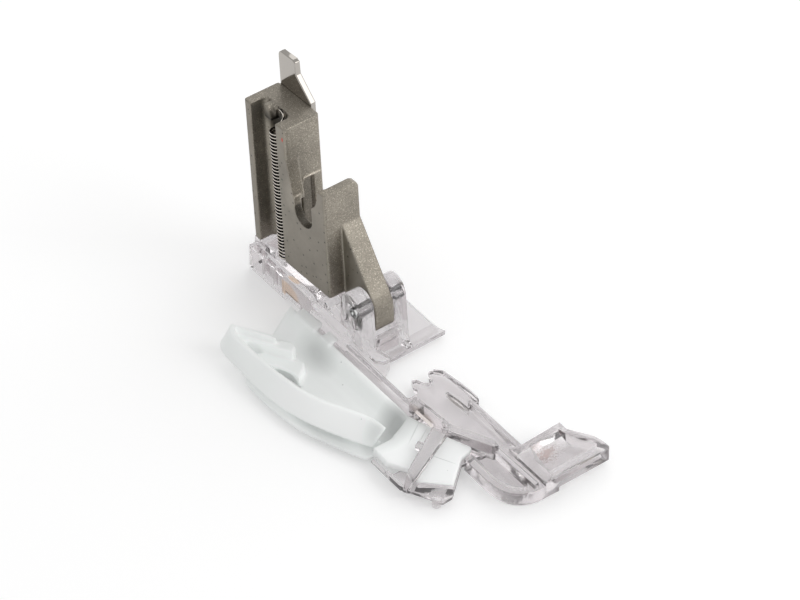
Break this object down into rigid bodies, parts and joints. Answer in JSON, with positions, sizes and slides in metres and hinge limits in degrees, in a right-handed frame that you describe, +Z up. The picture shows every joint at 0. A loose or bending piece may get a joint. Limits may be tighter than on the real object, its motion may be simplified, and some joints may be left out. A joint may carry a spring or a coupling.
{
  "type": "sewing machine piping foot",
  "caption": "Hinged presser foot: slotted metal shank with tension spring, clear sole with forward arm and toe, and a white edge guide that slides under a bridge.",
  "frame": {"origin": "on the floor, straight below the middle of the hinge pin's axis line at X = 0", "axes": "+X to the operator's right along the hinge pin, +Y to the back of the machine, +Z up"},
  "size_m": [0.0329, 0.0663, 0.0382],
  "materials": {
    "sintered_steel": "bead-blasted, slightly grainy",
    "chrome_plate": "polished",
    "spring_wire": "drawn wire",
    "pin_steel": "ground",
    "clear_plastic": "clear, faint lilac tint",
    "white_plastic": "fine matte"
  },
  "bodies": {
    "foot": {"sole": "clear_plastic", "hinge_pin": "pin_steel"},
    "shank_body": {"shank": "sintered_steel", "tab": "chrome_plate", "spring": "spring_wire"},
    "guide_body": {"guide": "white_plastic"}
  },
  "joints": [
    {"name": "shank_hinge", "type": "hinge", "parent": "foot", "child": "shank_body", "pos_m": [0, 0, 0.0089], "axis": [1, 0, 0], "range_deg": [0, 12], "stiffness_Nm_per_rad": 0.02, "springref_deg": -17.19, "deforming": ["spring"]},
    {"name": "guide_slide", "type": "slide", "parent": "foot", "child": "guide_body", "axis": [-0.3829, 0.9238, 0], "range_m": [0, 0.003]}
  ]
}
